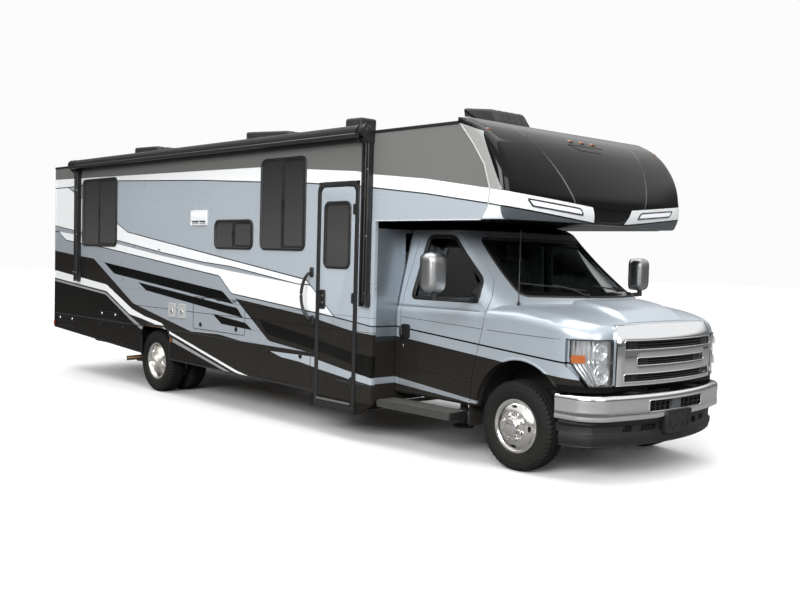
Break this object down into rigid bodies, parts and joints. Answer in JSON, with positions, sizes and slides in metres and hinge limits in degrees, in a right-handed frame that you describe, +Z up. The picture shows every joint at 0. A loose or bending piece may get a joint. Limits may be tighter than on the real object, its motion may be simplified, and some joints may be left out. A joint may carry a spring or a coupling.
{
  "type": "motorhome",
  "caption": "Motorhome with an over-cab bunk on a cutaway van chassis: cab doors, hood, entry and storage doors open, steered front wheels and twin rear wheels turn.",
  "frame": {"origin": "middle of the footprint, on the ground under the tyres", "axes": "+X forward along the vehicle, +Y to its left, +Z up"},
  "size_m": [9.41, 3.13, 3.2],
  "materials": {
    "frame": "satin black",
    "cast": "bare",
    "block": "bare",
    "tank": "moulded",
    "pipe": "heat stained",
    "jack": "satin black",
    "chrome": "polished",
    "grey_plastic": "moulded",
    "black_plastic": "fine grain",
    "lamp_clear": "clear",
    "lamp_colour": "amber and red lenses",
    "cab_paint": "metallic silver",
    "coach_skin": "gloss, painted stripes",
    "black_paint": "gloss black",
    "roof_white": "satin white",
    "cap_shell": "gloss",
    "glass_clear": "green tint",
    "glass_dark": "dark tint",
    "fabric": "woven",
    "alloy": "brushed",
    "rim": "polished",
    "tyre": "rubber",
    "floor": "sealed board",
    "mirror_shell": "polished shell",
    "rubber": "matt"
  },
  "bodies": {
    "chassis": {"awning": "black_paint", "bumper_valance": "grey_plastic", "cab_seats": "fabric", "cab_shell": "cab_paint", "coach_floor": "floor", "dashboard": "black_plastic", "engine_block": "block", "entry_frame": "black_paint", "entry_steps": "grey_plastic", "exhaust": "pipe", "frame_rails": "frame", "front_axle": "cast", "front_bumper": "chrome", "front_cap": "cap_shell", "front_wall": "grey_plastic", "fuel_tank": "tank", "gearbox": "cast", "grille": "chrome", "headlamps": "lamp_clear", "lamps": "lamp_colour", "levelling_jacks": "jack", "mud_flaps": "rubber", "rear_axle": "cast", "rear_bumper": "black_paint", "roof": "roof_white", "roof_units": "roof_white", "running_boards": "alloy", "skirt_left": "black_paint", "skirt_right": "black_paint", "storage_boxes": "grey_plastic", "wall_left": "coach_skin", "wall_rear": "coach_skin", "wall_right": "coach_skin", "window_frames": "black_plastic", "window_glass": "glass_dark", "windscreen": "glass_clear"},
    "hood": {"hood": "cab_paint"},
    "door_right": {"cab_door_right": "cab_paint", "cab_door_glass_right": "glass_clear", "mirror_right": "mirror_shell"},
    "door_left": {"cab_door_left": "cab_paint", "cab_door_glass_left": "glass_clear", "mirror_left": "mirror_shell"},
    "entry": {"entry_door": "coach_skin", "entry_door_glass": "glass_dark"},
    "storage_rear_right": {"storage_door_rear_right": "black_paint"},
    "storage_middle_right": {"storage_door_middle_right": "coach_skin"},
    "storage_front_right": {"storage_door_front_right": "black_paint"},
    "storage_rear_left": {"storage_door_rear_left": "black_paint"},
    "storage_front_left": {"storage_door_front_left": "black_paint"},
    "steering_left": {"knuckle_left": "cast"},
    "steering_right": {"knuckle_right": "cast"},
    "wheel_front_left": {"tyre_front_left": "tyre", "rim_front_left": "rim"},
    "wheel_front_right": {"tyre_front_right": "tyre", "rim_front_right": "rim"},
    "wheels_rear_left": {"tyres_rear_left": "tyre", "rims_rear_left": "rim"},
    "wheels_rear_right": {"tyres_rear_right": "tyre", "rims_rear_right": "rim"}
  },
  "joints": [
    {"name": "hood_hinge", "type": "hinge", "parent": "chassis", "child": "hood", "pos_m": [3.83, 0, 1.425], "axis": [0, -1, 0], "range_deg": [0, 55]},
    {"name": "door_right_hinge", "type": "hinge", "parent": "chassis", "child": "door_right", "pos_m": [3.45, -1.004, 0.9], "axis": [0, 0, 1], "range_deg": [0, 65]},
    {"name": "door_left_hinge", "type": "hinge", "parent": "chassis", "child": "door_left", "pos_m": [3.45, 1.004, 0.9], "axis": [0, 0, -1], "range_deg": [0, 65]},
    {"name": "entry_hinge", "type": "hinge", "parent": "chassis", "child": "entry", "pos_m": [2.067, -1.297, 1.3], "axis": [0, 0, 1], "range_deg": [0, 110]},
    {"name": "storage_rear_right_hinge", "type": "hinge", "parent": "chassis", "child": "storage_rear_right", "pos_m": [-2.815, -1.288, 0.771], "axis": [-1, 0, 0], "range_deg": [0, 95]},
    {"name": "storage_middle_right_hinge", "type": "hinge", "parent": "chassis", "child": "storage_middle_right", "pos_m": [-0.26, -1.288, 1.206], "axis": [-1, 0, 0], "range_deg": [0, 95]},
    {"name": "storage_front_right_hinge", "type": "hinge", "parent": "chassis", "child": "storage_front_right", "pos_m": [0.98, -1.288, 0.771], "axis": [-1, 0, 0], "range_deg": [0, 95]},
    {"name": "storage_rear_left_hinge", "type": "hinge", "parent": "chassis", "child": "storage_rear_left", "pos_m": [-2.815, 1.288, 0.771], "axis": [1, 0, 0], "range_deg": [0, 95]},
    {"name": "storage_front_left_hinge", "type": "hinge", "parent": "chassis", "child": "storage_front_left", "pos_m": [0.23, 1.288, 0.771], "axis": [1, 0, 0], "range_deg": [0, 95]},
    {"name": "steer_left", "type": "hinge", "parent": "chassis", "child": "steering_left", "pos_m": [3.78, 0.7, 0.372], "axis": [0, 0, 1], "range_deg": [-32, 32]},
    {"name": "spin_front_left", "type": "hinge", "parent": "steering_left", "child": "wheel_front_left", "pos_m": [3.78, 0.881, 0.372], "axis": [0, 1, 0], "continuous": true},
    {"name": "spin_rear_left", "type": "hinge", "parent": "chassis", "child": "wheels_rear_left", "pos_m": [-1.72, 0.988, 0.372], "axis": [0, 1, 0], "continuous": true},
    {"name": "steer_right", "type": "hinge", "parent": "chassis", "child": "steering_right", "pos_m": [3.78, -0.7, 0.372], "axis": [0, 0, 1], "range_deg": [-32, 32]},
    {"name": "spin_front_right", "type": "hinge", "parent": "steering_right", "child": "wheel_front_right", "pos_m": [3.78, -0.881, 0.372], "axis": [0, 1, 0], "continuous": true},
    {"name": "spin_rear_right", "type": "hinge", "parent": "chassis", "child": "wheels_rear_right", "pos_m": [-1.72, -0.988, 0.372], "axis": [0, 1, 0], "continuous": true}
  ],
  "couplings": [
    {"joint": "steer_right", "follows": "steer_left", "ratio": 1}
  ]
}
